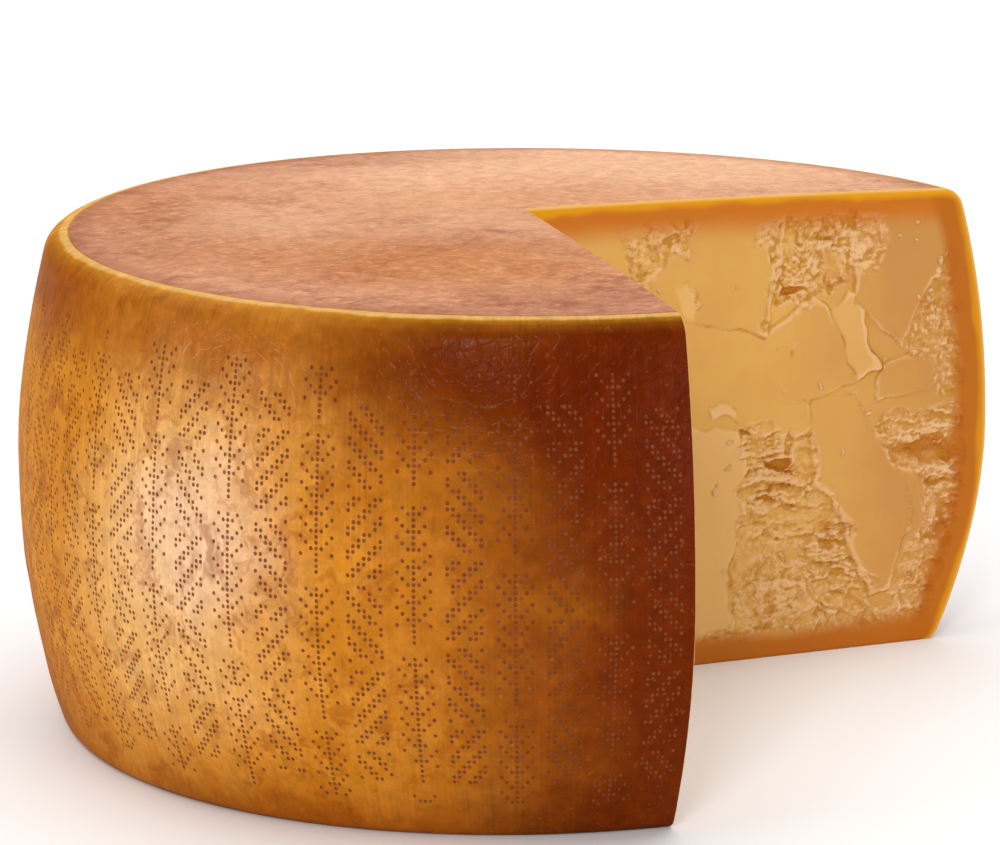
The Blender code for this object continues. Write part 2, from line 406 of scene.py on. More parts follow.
# Scales that split off clean: rise above the wall, lean along and up it in millimetres a hundred, how much
# warmer they are than the wall (paler below 0), then the corners of the scale.
SIDE_WALL_SCALES = (
    (1.1, 1.0, -1.0, 0.35, (
        (77, 197), (118, 197), (118, 180), (117, 165), (112, 150), (110, 141), (100, 143), (86, 147),
        (60, 152), (50, 168), (58, 173),
    )),
    (0.9, 2.0, 1.4, 0.12, (
        (70, 106), (92, 107), (101, 104), (113, 103), (114, 94), (122, 92), (131, 98), (130, 112),
        (122, 128), (122, 150), (108, 141), (86, 147), (60, 152), (60, 110),
    )),
    (1.3, -2.0, 1.0, 0.25, (
        (119, 110), (132, 110), (152, 117), (148, 130), (140, 150), (132, 156), (122, 150),
    )),
    (1.9, 16.0, 3.0, -0.30, (
        (152, 117), (162, 124), (156, 136), (154, 154), (148, 158), (140, 150), (148, 130),
    )),
    (1.0, 0.0, -6.0, -0.55, ((82, 112), (90, 114), (97, 110), (95, 106), (84, 107))),
    (0.8, -3.0, -2.0, 0.25, (
        (131, 112), (154, 112), (161, 92), (170, 80), (179, 64), (177, 50), (168, 26), (158, 22),
        (150, 46), (142, 66), (133, 72), (131, 98),
    )),
    # Painted light: this scale's paler tone brightens the lower left of the wall, which the front slice
    # shades from the key light
    (0.7, -1.5, 0.0, -0.42, (
        (84, 10), (94, 14), (92, 34), (97, 58), (101, 68), (95, 76), (101, 84), (96, 103), (60, 104),
        (60, 8),
    )),
    (0.9, 2.0, 4.0, -0.35, ((105, 35), (118, 34), (127, 31), (134, 19), (121, 17), (106, 19))),
    (0.9, -3.0, 1.0, 0.40, (
        (151, 152), (163, 140), (172, 131), (180, 144), (189, 160), (202, 180), (202, 193), (151, 193),
    )),
    (1.0, 3.0, -3.0, -0.8, ((148, 183), (158, 181), (162, 173), (156, 165), (148, 168))),
    (0.9, 0.0, 2.0, -0.4, ((68, 163), (73, 166), (79, 156), (76, 150), (71, 156))),
    (0.6, -2.0, 1.0, 0.1, ((162, 124), (176, 128), (192, 130), (188, 112), (160, 108))),
)
# Holes: distance from the inner edge, height, half length, half height and depth in millimetres
SIDE_WALL_HOLES = (
    (116, 84, 7.0, 2.6, 2.8), (121, 92, 3.0, 6.0, 1.5), (124, 158, 6.0, 1.6, 2.0), (66, 184, 5.0, 3.0, 1.4),
)

# The front wall's own zones, scales and holes, in the same manner
FRONT_WALL_ZONES = (
    (1.5, 1.1, 1.2, 0.0, ((46, 180), (92, 176), (104, 158), (94, 142), (70, 150), (44, 160))),
    (1.2, 1.0, 1.2, 0.0, ((122, 184), (176, 186), (184, 166), (160, 160), (128, 166))),
    (2.2, 1.3, 1.0, 0.0, (
        (196, 172), (206, 172), (208, 96), (204, 30), (186, 22), (190, 70), (184, 104), (190, 140),
    )),
    (2.0, 1.1, 3.0, 0.26, ((92, 84), (120, 88), (148, 74), (156, 44), (140, 26), (112, 40), (96, 52))),
    (1.2, 1.0, 2.0, 0.2, ((46, 96), (66, 92), (72, 52), (58, 28), (44, 40))),
    (0.8, 0.9, 1.1, 0.0, ((20, 18), (90, 20), (150, 17), (196, 19), (196, 9), (120, 7), (20, 9))),
)
FRONT_WALL_SCALES = (
    (1.1, 1.0, -1.0, 0.3, ((96, 96), (150, 88), (172, 112), (160, 158), (118, 160), (104, 132))),
    (1.0, -2.0, 1.5, 0.0, ((16, 130), (52, 126), (64, 150), (44, 160), (46, 190), (16, 190))),
    (1.2, 4.0, 0.0, -0.4, ((156, 30), (186, 34), (190, 76), (168, 92), (148, 74))),
    (0.8, -1.0, 2.0, 0.1, ((66, 20), (112, 24), (112, 40), (96, 52), (92, 84), (70, 92))),
)
FRONT_WALL_HOLES = ((120, 70, 6.5, 2.4, 4.0), (88, 156, 5.0, 2.2, 2.4))

# Sizes of the broken grains, how far they step, how far each leans and how far its edges fall off
GRAIN_SIZES = ((8.5, 0.75, 0.06, 0.06), (4.2, 0.48, 0.08, 0.16), (2.3, 0.38, 0.12, 0.27))
# Small chips scattered over each wall
CHIPS = 70


def outline_distance(across, up, corners):
    """Distance to a closed outline, negative inside it."""
    distance = np.full(across.shape, 1e9)
    inside = np.zeros(across.shape, bool)
    for (x0, y0), (x1, y1) in zip(corners, corners[1:] + corners[:1]):
        dx, dy = x1 - x0, y1 - y0
        share = np.clip(((across - x0) * dx + (up - y0) * dy) / (dx * dx + dy * dy), 0.0, 1.0)
        distance = np.minimum(distance, np.hypot(across - x0 - share * dx, up - y0 - share * dy))
        if dy:
            inside ^= ((y0 > up) != (y1 > up)) & (across < dx * (up - y0) / dy + x0)
    return np.where(inside, -distance, distance)


def wall_relief(across, up, skin, zones, scales, holes, seed):
    """Depth behind the wall's plane in millimetres, how far it is crumbled, and the tone of its scales."""
    ragged_across = across + 1.7 * swells(across / 9.0, up / 9.0, seed, 2)
    ragged_up = up + 1.7 * swells(across / 9.0, up / 9.0, seed + 20, 2)
    torn_across = ragged_across + 0.6 * swells(across / 2.8, up / 2.8, seed + 40)
    torn_up = ragged_up + 0.6 * swells(across / 2.8, up / 2.8, seed + 60)
    depth = 0.6 * swells(across / 46.0, up / 46.0, seed + 80, 2)
    depth += 0.08 * swells(across / 7.0, up / 20.0, seed + 90, 2)
    patchy = ease(swells(across / 8.0, up / 8.0, seed + 160, 2), 0.05, 0.55)
    lip = np.zeros_like(depth)
    crack = np.zeros_like(depth)
    split = ease(swells(across / 20.0, up / 20.0, seed + 190, 2), 0.0, 0.5) * (1.0 - patchy)
    plate = np.zeros_like(depth)
    tone = np.zeros_like(depth)
    for rise, lean_along, lean_up, scale_tone, corners in scales:
        middle = np.mean(corners, axis=0)
        within = -outline_distance(ragged_across, ragged_up, corners)
        inside = ease(within, -0.3, 0.6)
        covered = ease(within, 0.4, 1.2)
        lip = np.maximum(lip * (1.0 - covered), ease(0.8 - np.abs(within - 0.2), 0.0, 0.6) * patchy)
        crack = np.maximum(crack * (1.0 - covered), ease(0.9 - np.abs(within + 0.5), 0.0, 0.8) * split)
        tone += (scale_tone - tone) * inside
        plane = 0.8 * rise + 0.01 * (lean_along * (across - middle[0]) + lean_up * (up - middle[1]))
        plate += (plane - plate) * inside
    depth -= plate
    crumbled = 0.75 * lip
    sunk = 0.10 * lip + 0.40 * crack
    coarse = 0.35 * lip
    length = np.ones_like(depth)
    smoother = swells(across / 10.0, up / 10.0, seed + 170, 2)
    shingled = np.zeros_like(depth)
    for zone_depth, grain, stretch, shingle, corners in zones:
        within = -outline_distance(torn_across, torn_up, corners)
        share = ease(within + 5.0 * smoother, -0.6, 1.6) * (1.0 - 0.55 * ease(smoother, -0.1, 0.7))
        crumbled = np.maximum(crumbled, share)
        bowl = 0.15 * ease(within, -0.5, 1.0) + 0.85 * ease(within, 0.0, 11.0)
        sunk = np.maximum(sunk, zone_depth * bowl)
        length = np.where(share * grain > coarse, stretch, length)
        shingled = np.where(share * grain > coarse, shingle, shingled)
        coarse = np.maximum(coarse, share * grain)
    depth += sunk
    for place, (size, step, lean, fall) in enumerate(GRAIN_SIZES):
        longer, shorter = size * np.sqrt(length), size / np.sqrt(length)
        own, leaning, above, off = grains(torn_across / longer, torn_up / shorter, seed + 100 + 10 * place)
        broken = step * own + size * (lean * leaning + fall * off**2)
        depth += coarse * (broken + shorter * shingled * above)
    depth += coarse * 0.20 * swells(across / 1.7, up / 1.5, seed + 130, 2)
    for centre, height, half_length, half_height, hole_depth in holes:
        bowl = 1.0 - np.hypot((torn_across - centre) / half_length, (torn_up - height) / half_height)
        depth += hole_depth * ease(bowl, -0.1, 0.45)
        crumbled = np.maximum(crumbled, ease(bowl, -0.2, 0.0))
    luck = random.Random(seed)
    for _ in range(CHIPS):
        centre, height = luck.uniform(12.0, 202.0), luck.uniform(14.0, 188.0)
        size, turn = luck.uniform(0.8, 2.2), luck.uniform(0.0, math.pi)
        x = (across - centre) * math.cos(turn) + (up - height) * math.sin(turn)
        y = (up - height) * math.cos(turn) - (across - centre) * math.sin(turn)
        chip = ease(1.0 - np.hypot(x / size, y / (0.55 * size)), 0.0, 0.4)
        depth -= chip * luck.uniform(0.3, 0.9)
        crumbled = np.maximum(crumbled, chip)
    firm = ease(skin + 1.5 * swells(across / 6.0, up / 6.0, seed + 140, 2), 6.0, 11.0)
    return depth * firm, crumbled * firm, tone * firm


def averaged(field, reach):
    """Each point's mean over a square of neighbours, this many points to each side."""
    padded = np.pad(field, reach, mode="edge")
    total = np.cumsum(np.cumsum(np.pad(padded, ((1, 0), (1, 0))), axis=0), axis=1)
    span = 2 * reach + 1
    lower, upper = total[:-span], total[span:]
    return (upper[:, span:] - lower[:, span:] - upper[:, :-span] + lower[:, :-span]) / span**2


# --- Modelling steps --------------------------------------------------------------------------------


def start_alone():
    """Leave edit mode and deselect everything, so that the next operator has only its own object."""
    if bpy.context.object and bpy.context.object.mode != "OBJECT":
        bpy.ops.object.mode_set(mode="OBJECT")
    bpy.ops.object.select_all(action="DESELECT")


def choose(thing):
    """Make an object the only selected and the active one."""
    start_alone()
    thing.select_set(True)
    bpy.context.view_layer.objects.active = thing


def edit_unselected(thing, kind):
    """Enter edit mode on an object with nothing selected, ready to select this kind of element."""
    choose(thing)
    bpy.ops.object.mode_set(mode="EDIT")
    bpy.ops.mesh.select_mode(type=kind)
    bpy.ops.mesh.select_all(action="DESELECT")


def sheet_of_cells(name, columns, rows):
    """A flat sheet of unit cells with its first corner at the origin."""
    start_alone()
    bpy.ops.mesh.primitive_grid_add(
        x_subdivisions=columns, y_subdivisions=rows, size=1.0, location=(0.5, 0.5, 0.0)
    )
    sheet = bpy.context.object
    sheet.name = name
    sheet.data.name = name
    bpy.ops.object.transform_apply(location=True, rotation=False, scale=False)
    bpy.ops.object.mode_set(mode="EDIT")
    bpy.ops.mesh.select_all(action="SELECT")
    bpy.ops.transform.resize(value=(columns, rows, 1.0), center_override=(0.0, 0.0, 0.0))
    bpy.ops.object.mode_set(mode="OBJECT")
    return sheet


def points_of(mesh):
    """A mesh's points as an array."""
    flat = np.empty(len(mesh.vertices) * 3)
    mesh.vertices.foreach_get("co", flat)
    return flat.reshape(-1, 3)


def move_points(mesh, points):
    """Put a mesh's points in new places."""
    mesh.vertices.foreach_set("co", points.astype(np.float32).ravel())
    mesh.update()


def note_values(mesh, name, values):
    """Keep a number for each point, for the materials to read."""
    attribute = mesh.attributes.get(name) or mesh.attributes.new(name, "FLOAT", "POINT")
    attribute.data.foreach_set("value", values.astype(np.float32).ravel())


def lay_map(mesh, places):
    """Give a mesh its map, from each point's place on it."""
    layer = mesh.uv_layers.get("OFBake") or mesh.uv_layers.new(name="OFBake")
    corners = np.empty(len(mesh.loops), int)
    mesh.loops.foreach_get("vertex_index", corners)
    layer.data.foreach_set("uv", places[corners].astype(np.float32).ravel())
    for other in [each for each in mesh.uv_layers if each.name != "OFBake"]:
        mesh.uv_layers.remove(other)


def ear_dot(row, place, strip):
    """Whether an ear of wheat has a dot here: a stem, then pairs of slanting grains."""
    step = (row + EAR_SHIFT * (strip // 2)) % EAR_LENGTH
    if step < 2:
        return False
    return place == MIDDLE_DOT or (step > 4 and abs(place - MIDDLE_DOT) == step % 3 + 1)


def twill_dot(row, place, strip):
    """Whether a twilled band has a dot here: blocks of slanting lines that turn the other way by turns."""
    block, step = divmod(row + TWILL_SHIFT * strip, TWILL_LENGTH)
    return step > 0 and (step + (place if block % 2 else -place)) % 4 < 2


def has_dot(column, row):
    """Whether the stamp left a dot in this cell of the barrel's rind."""
    strip, place = divmod(column, STRIP_CELLS)
    if place >= STRIP_DOTS:
        return False
    if strip % 2:
        return row in TWILL_ROWS and twill_dot(row, place, strip)
    return row in EAR_ROWS and ear_dot(row, place, strip)


def stamp_dots(sheet, first_column):
    """Press the dots into a flat rind sheet: an inset for the rim, one for the floor, then made round."""
    luck = random.Random(first_column)
    edit_unselected(sheet, "FACE")
    cells = bmesh.from_edit_mesh(sheet.data)
    for cell in cells.faces:
        middle = cell.calc_center_median()
        column = first_column + int(middle.x)
        row = int(middle.y) - first_barrel_row()
        if 0 <= row < BARREL_ROWS and has_dot(column, row) and luck.random() > MISSED_SHARE:
            cell.select_set(True)
    bmesh.update_edit_mesh(sheet.data)
    bpy.ops.mesh.inset(thickness=DOT_INSET, depth=0.0, use_individual=True)
    bpy.ops.mesh.subdivide(number_cuts=1, ngon=True)
    bpy.ops.mesh.inset(thickness=FLOOR_INSET, depth=-1.0, use_individual=False)
    bpy.ops.object.mode_set(mode="OBJECT")
    flat = points_of(sheet.data)
    off = flat[:, :2] - np.floor(flat[:, :2]) - 0.5
    # Points on a cell's border and in its middle stay, and the rest go from a square to a circle
    square = np.abs(off).max(axis=1)
    turned = (square < 0.48) & (square > 0.01)
    rounding = square / np.maximum(np.hypot(off[:, 0], off[:, 1]), 0.01) - 1.0
    flat[turned, :2] += off[turned] * rounding[turned, None]
    move_points(sheet.data, flat)


def wrap_rind(sheet, first_column):
    """Bend a flat rind sheet round the wheel, and note where each point lies for the materials."""
    sizes = bpy.context.scene.cheese_sizes
    flat = points_of(sheet.data)
    column, row, lift = flat[:, 0] + first_column, flat[:, 1], flat[:, 2]
    heading = column_heading(column)
    points = rind_between_rows(heading, row)
    ahead = rind_between_rows(column_heading(column + 0.05), row) - points
    start = np.minimum(row, last_row() - 0.06)
    above = rind_between_rows(heading, start + 0.05) - rind_between_rows(heading, start)
    outward = np.cross(ahead, above)
    outward /= np.maximum(np.linalg.norm(outward, axis=1, keepdims=True), 1e-12)
    levels, shares = rind_rows()
    travels = levels + (1.0 - shares) * np.where(levels == 1.0, 1.0, -1.0)
    travel = np.interp(row, np.arange(len(levels)), travels)
    off_wall = ease(np.minimum(column, COLUMNS - column), 0.0, 5.0)
    side = ease(0.5 - np.abs(travel - 0.5), 0.0, 0.08)
    top = ease(travel, 1.02, 1.10) * ease(1.94 - travel, 0.0, 0.1)
    uneven = SIDE_UNEVENNESS * swells(column / 16.0, row / 18.0, 11, 3) * side
    uneven += TOP_UNEVENNESS * swells(points[:, 0] / 0.022, points[:, 1] / 0.022, 12, 3) * top
    sunk = lift * sizes.dot_depth * (0.7 + 0.6 * scatter(np.floor(column), np.floor(row), 7))
    move_points(sheet.data, points + outward * (sunk + uneven * off_wall)[:, None])
    note_values(sheet.data, "travel", travel)
    note_values(sheet.data, "around", column * CELL_WIDTH)
    note_values(sheet.data, "pit", np.clip(-lift, 0.0, 1.0))
    rim = first_barrel_row() + BARREL_ROWS + SHOULDER_ROWS
    return np.interp(row, (0.0, first_side_row(), rim, last_row()), RIND_MAP_LEVELS)


def remove_doubles_at_border(thing):
    """Merge the points that lie on each other along open edges."""
    edit_unselected(thing, "VERT")
    bpy.ops.mesh.select_non_manifold(extend=False, use_wire=True, use_boundary=True, use_multi_face=False)
    bpy.ops.mesh.remove_doubles(threshold=MERGE_DISTANCE)
    bpy.ops.object.mode_set(mode="OBJECT")


def make_rind_slice(name, first_column, columns, map_width):
    """The rind of one slice, from the base's middle round to the top's, still open at its sides."""
    sheet = sheet_of_cells(name, columns, last_row())
    stamp_dots(sheet, first_column)
    flat = points_of(sheet.data)
    mapped = wrap_rind(sheet, first_column)
    lay_map(sheet.data, np.stack((MAP_EDGE + map_width * flat[:, 0] / columns, mapped), -1))
    mark_faces(sheet, 0)
    remove_doubles_at_border(sheet)
    return sheet


def heading_of(point):
    """Heading of a point from the inner edge, from 0 to a full turn."""
    return math.atan2(point.y - INNER_EDGE[1], point.x - INNER_EDGE[0]) % (2.0 * math.pi)


def select_open_side(thing, middle_heading, after):
    """Select a slice's open edges on one side of its middle heading."""
    edit_unselected(thing, "EDGE")
    mesh = bmesh.from_edit_mesh(thing.data)
    inner = Vector(INNER_EDGE[:2])
    for edge in mesh.edges:
        if not edge.is_boundary:
            continue
        far = max(edge.verts, key=lambda vertex: (vertex.co.xy - inner).length)
        if (heading_of(far.co) > middle_heading) == after:
            edge.select_set(True)
    bmesh.update_edit_mesh(thing.data)


def close_side(thing, middle_heading, after):
    """Close one flat side of a slice with a single face."""
    select_open_side(thing, middle_heading, after)
    bpy.ops.mesh.edge_face_add()
    bpy.ops.object.mode_set(mode="OBJECT")


def close_rest(thing):
    """Close what is still open with a single face, then turn all faces outward."""
    edit_unselected(thing, "EDGE")
    bpy.ops.mesh.select_non_manifold(extend=False, use_wire=False, use_boundary=True, use_multi_face=False)
    bpy.ops.mesh.edge_face_add()
    bpy.ops.mesh.select_all(action="SELECT")
    bpy.ops.mesh.normals_make_consistent(inside=False)
    bpy.ops.object.mode_set(mode="OBJECT")


def finish_slice(thing, rind, paste):
    """Give the rind and the paste their finishes, and shade the slice smooth up to its real edges."""
    thing.data.materials.clear()
    thing.data.materials.append(rind)
    thing.data.materials.append(paste)
    attribute = thing.data.attributes["paste_face"]
    values = np.empty(len(thing.data.polygons), int)
    attribute.data.foreach_get("value", values)
    thing.data.polygons.foreach_set("material_index", values)
    choose(thing)
    bpy.ops.object.shade_smooth_by_angle(angle=SMOOTH_ANGLE)
    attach(thing, "root")
    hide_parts("cheese_wheel")


def mark_faces(thing, value):
    """Note for each face whether it is paste."""
    attribute = thing.data.attributes.new("paste_face", "INT", "FACE")
    attribute.data.foreach_set("value", np.full(len(thing.data.polygons), value))


def mark_flat_sides(thing):
    """Make the faces that close a slice's sides paste, and map them to a strip of their own."""
    values = thing.data.attributes["paste_face"].data
    layer = thing.data.uv_layers["OFBake"].data
    closing = [face for face in thing.data.polygons if len(face.vertices) > MOST_CORNERS]
    for number, face in enumerate(closing):
        values[face.index].value = 1
        for corner in face.loop_indices:
            point = thing.data.vertices[thing.data.loops[corner].vertex_index].co
            share = math.hypot(point.x - INNER_EDGE[0], point.y - INNER_EDGE[1]) / FLAT_MAP_REACH
            left = FLAT_MAP_START + FLAT_MAP_STEP * number
            layer[corner].uv = (left + FLAT_MAP_WIDTH * share, 2.0 * MAP_EDGE + FLAT_MAP_RISE * point.z)


def subdivide_open_edges(thing, middle_heading, after):
    """Divide a slice's open edges on one side as finely as the wall that joins there."""
    select_open_side(thing, middle_heading, after)
    mesh = bmesh.from_edit_mesh(thing.data)
    travel = mesh.verts.layers.float["travel"]
    groups = {}
    for edge in mesh.edges:
        if not edge.select:
            continue
        first, second = (vertex[travel] for vertex in edge.verts)
        on_side = 0.0 < 0.5 * (first + second) < 1.0
        cuts = WALL_ROW_PARTS - 1 if on_side else round(abs(second - first) * WALL_CELLS) - 1
        groups.setdefault(cuts, []).append(tuple(vertex.index for vertex in edge.verts))
    for cuts, pairs in sorted(groups.items()):
        mesh = bmesh.from_edit_mesh(thing.data)
        mesh.verts.ensure_lookup_table()
        bpy.ops.mesh.select_all(action="DESELECT")
        for first, second in pairs:
            mesh.edges.get((mesh.verts[first], mesh.verts[second])).select_set(True)
        bmesh.update_edit_mesh(thing.data)
        bpy.ops.mesh.subdivide(number_cuts=cuts, ngon=True)
    bpy.ops.object.mode_set(mode="OBJECT")


def make_wall(name, heading, toward_notch, around, zones, scales, holes, seed):
    """A broken wall: a fine sheet on the plane of the break, sculpted by its relief."""
    sizes = bpy.context.scene.cheese_sizes
    low, high = first_side_row(), first_barrel_row() + BARREL_ROWS + SHOULDER_ROWS
    rows = (high - low) * WALL_ROW_PARTS
    wall = sheet_of_cells(name, WALL_CELLS, rows)
    flat = np.rint(points_of(wall.data)[:, :2]).astype(int)
    share = flat[:, 0] / WALL_CELLS
    row = low + flat[:, 1] / WALL_ROW_PARTS
    edge = rind_between_rows(np.full(len(share), heading), row)
    levels = rind_rows()[0]
    level = np.interp(row, np.arange(len(levels)), levels)
    points = from_inner_edge(edge, level, share)
    rings = np.concatenate(([0.0], np.arange(TOP_LAST_RING, TOP_RINGS + 1) / TOP_RINGS))
    dome = np.interp(share, rings, sizes.dome_rise * (1.0 - rings**2))
    points[:, 2] += level**6 * dome
    shape = (rows + 1, WALL_CELLS + 1)
    order = flat[:, 1] * (WALL_CELLS + 1) + flat[:, 0]
    grid = np.empty((len(order), 3))
    grid[order] = points
    grid = grid.reshape(*shape, 3)
    direction = np.array((math.cos(heading), math.sin(heading), 0.0))
    across = (grid - INNER_EDGE) @ direction / MILLIMETRE
    up = grid[..., 2] / MILLIMETRE
    reach = across[:, -1:]
    under_top = up[-1:, :] - up
    under_side = reach - across
    over_base = up - up[:1, :]
    skin = np.minimum(np.minimum(under_top, under_side), over_base)
    row_levels = np.interp(np.arange(rows + 1) / WALL_ROW_PARTS + low, np.arange(len(levels)), levels)
    travel = np.repeat(row_levels[:, None], WALL_CELLS + 1, axis=1)
    travel[0] -= 1.0 - np.arange(WALL_CELLS + 1) / WALL_CELLS
    travel[-1] += 1.0 - np.arange(WALL_CELLS + 1) / WALL_CELLS
    depth, crumbled, tone = wall_relief(across, up, skin, zones, scales, holes, seed)
    depth *= ease(across, 0.0, 8.0)
    border = np.minimum(skin, across)
    chipped = 0.8 + 0.9 * (0.5 + 0.5 * swells(across / 3.0, up / 3.0, seed + 150, 2))
    depth -= sizes.wall_proud / MILLIMETRE * ease(border, 0.0, chipped)
    # How far each point lies below its neighbours: the paste's painted shade and painted highlight follow
    # it
    hollow = depth - averaged(depth, 2) + 0.35 * (depth - averaged(depth, 7))
    grid = grid - np.array(toward_notch)[None, None, :] * (depth * MILLIMETRE)[..., None]
    move_points(wall.data, grid.reshape(-1, 3)[order])
    for title, values in (
        ("travel", travel),
        ("around", np.full(shape, around)),
        ("under_top", under_top),
        ("under_side", under_side),
        ("over_base", over_base),
        ("crumbled", crumbled),
        ("tone", tone),
        ("hollow", hollow),
        ("depth", depth),
    ):
        note_values(wall.data, title, values.reshape(-1)[order])
    map_up = MAP_EDGE + (1.0 - 2.0 * MAP_EDGE) * level
    lay_map(wall.data, np.stack((WALL_MAP_START + WALL_MAP_WIDTH * share, map_up), -1))
    mark_faces(wall, 1)
    return wall


def make_end_slice(name, rind_slice, wall, middle_heading, wall_after):
    """Join a wall to its slice of rind along their shared outline, and close the far side."""
    subdivide_open_edges(rind_slice, middle_heading, wall_after)
    choose(rind_slice)
    wall.select_set(True)
    bpy.ops.object.join()
    remove_doubles_at_border(rind_slice)
    close_rest(rind_slice)
    rind_slice.name = name
    return rind_slice


# --- Finishes ---------------------------------------------------------------------------------------


def add_node(tree, kind, inputs=None, stops=None, **settings):
    """Add a shader node with its settings. An input is a plain value or another node's output."""
    made = tree.nodes.new("ShaderNode" + kind)
    for name, value in settings.items():
        setattr(made, name, value)
    for socket, value in (inputs or {}).items():
        if isinstance(value, bpy.types.NodeSocket):
            tree.links.new(value, made.inputs[socket])
        else:
            made.inputs[socket].default_value = value
    if stops:
        elements = made.color_ramp.elements
        while len(elements) < len(stops):
            elements.new(0.5)
        for element, (place, colour) in zip(elements, stops):
            element.position = place
            element.color = colour
    return made


def new_finish(name):
    """An empty node material, its tree and its shader."""
    material = bpy.data.materials.new(name)
    material.use_nodes = True
    tree = material.node_tree
    return material, tree, tree.nodes["Principled BSDF"]


def lay_colour(tree, under, over, measure, low, high, strength, within=None, slope="SMOOTHSTEP"):
    """Lay a colour over another as a measure goes from low to high. Gives the mix and the upper share."""
    share = add_node(
        tree, "MapRange", {"Value": measure, "From Min": low, "From Max": high, "To Max": strength},
        interpolation_type=slope,
    ).outputs[0]
    if within is not None:
        share = add_node(tree, "Math", {0: share, 1: within}, operation="MULTIPLY").outputs[0]
    mixed = add_node(tree, "Mix", {"Factor": share, "A": under, "B": over}, data_type="RGBA")
    return mixed.outputs["Result"], share


def stain_reach(tree, place, middle, halves):
    """How far points are from a stain's middle, with 1 at its half sizes. Both are in millimetres."""
    centre = [part * MILLIMETRE for part in middle]
    away = add_node(tree, "VectorMath", {0: place, 1: centre}, operation="SUBTRACT").outputs[0]
    scale = [METRE / half for half in halves]
    scaled = add_node(tree, "VectorMath", {0: away, 1: scale}, operation="MULTIPLY").outputs[0]
    return add_node(tree, "VectorMath", {0: scaled}, operation="LENGTH").outputs["Value"]


# Where the rind aged otherwise, with painted sheen on the left of the side: azimuth in degrees, height,
# half width and half height in millimetres, colour and strength
RIND_STAINS = (
    # The large tan patch is partly drier rind and partly painted sheen
    (-147, 90, 60, 96, "rind_tan", 0.85),
    (-137, 158, 46, 36, "rind_tan", 0.25),
    # Painted sheen: a pale patch where the light glances off the side
    (-142, 112, 42, 38, "rind_painted_sheen", 0.55),
    (-164, 152, 34, 40, "rind_amber", 0.85),
    (-174, 150, 50, 90, "rind_amber", 0.70),
    (-142, 10, 100, 34, "rind_amber", 0.75),
    (-150, 192, 110, 28, "rind_rust", 0.65),
    (-176, 190, 60, 26, "rind_rust", 0.85),
    (-138, 178, 60, 22, "rind_rust", 0.30),
    (-88, 90, 135, 190, "rind_rust", 0.95),
    (-121, 166, 44, 46, "rind_rust", 0.45),
    (-86, 80, 92, 170, "rind_brown", 0.92),
    (-93, 168, 80, 70, "rind_brown", 0.96),
    (-109, 184, 82, 34, "rind_brown", 0.90),
    (-132, 0, 130, 20, "rind_rust", 0.80),
    (-98, 2, 60, 26, "rind_brown", 0.80),
    (-176, 4, 60, 30, "rind_rust", 0.60),
    (-104, 98, 20, 12, "rind_amber", 0.20),
    (-192, 40, 60, 60, "rind_rust", 0.60),
    (160, 90, 60, 90, "rind_amber", 0.70),
    (138, 50, 60, 60, "rind_rust", 0.70),
    (118, 150, 70, 40, "rind_tan", 0.70),
    (88, 90, 60, 80, "rind_rust", 0.80),
    (62, 160, 50, 50, "rind_brown", 0.70),
    (44, 90, 50, 90, "rind_amber", 0.60),
    (20, 60, 50, 90, "rind_rust", 0.80),
    (14, 180, 60, 30, "rind_brown", 0.60),
)
# The top's stains, painted sheen and painted shadow: place, half width and half depth in millimetres,
# colour and strength
TOP_STAINS = (
    # The pale entries are painted sheen, brightest to the back right
    (90, 130, 170, 130, "top_pale", 0.78),
    (-20, 60, 60, 90, "top_pale", 0.55),
    (-20, -160, 90, 26, "top_brown", 0.45),
    # These two patches are painted shadow, the soft shadow of a blade across the top
    (-90, -95, 46, 26, "top_brown", 0.35),
    (-60, -60, 60, 26, "top_brown", 0.35),
    (-50, -92, 80, 60, "top_orange", 0.60),
    (-120, -40, 60, 60, "top_orange", 0.40),
    (0, 46, 90, 60, "top_orange", 0.35),
    (-150, 70, 50, 80, "top_orange", 0.30),
    (-110, 20, 40, 60, "top_pale", 0.40),
    (-160, 10, 60, 90, "top_brown", 0.22),
    (-40, 170, 90, 24, "top_brown", 0.30),
)
STAIN_RADIUS = 213.0
STAIN_TOP_LEVEL = 202.0
STAIN_TOP_HALF = 100.0
# Where a stain starts and where it is full, in its half sizes
RIND_STAIN_EDGE = (1.35, 0.2)
TOP_STAIN_EDGE = (1.3, 0.2)


